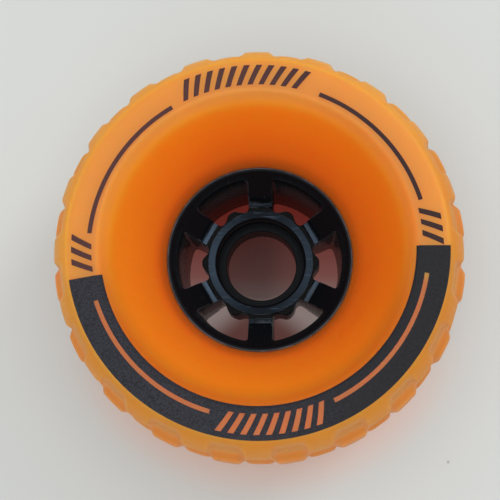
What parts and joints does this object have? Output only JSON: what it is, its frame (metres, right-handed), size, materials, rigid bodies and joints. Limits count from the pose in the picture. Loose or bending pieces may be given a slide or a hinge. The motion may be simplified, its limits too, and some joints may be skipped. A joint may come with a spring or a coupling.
{
  "type": "wheel",
  "caption": "Wide cast urethane board wheel with a knobbly tread, a deep front bowl and a spoked moulded core with a bearing seat at each end.",
  "frame": {"origin": "on the wheel's axis, half way between the front lip and the rear lip", "axes": "+Z along the axle, out of the front (printed) face; +Y towards the top of the picture; +X to its right, so a spoke of the core lies along +Y"},
  "size_m": [0.0996, 0.0996, 0.065],
  "materials": {
    "urethane": "matte cast urethane, slightly translucent, with a skin of dust",
    "nylon": "glossy black moulded nylon, satin and scuffed on the hub ring"
  },
  "bodies": {
    "root": {"tyre": "urethane", "core": "nylon"}
  },
  "joints": []
}
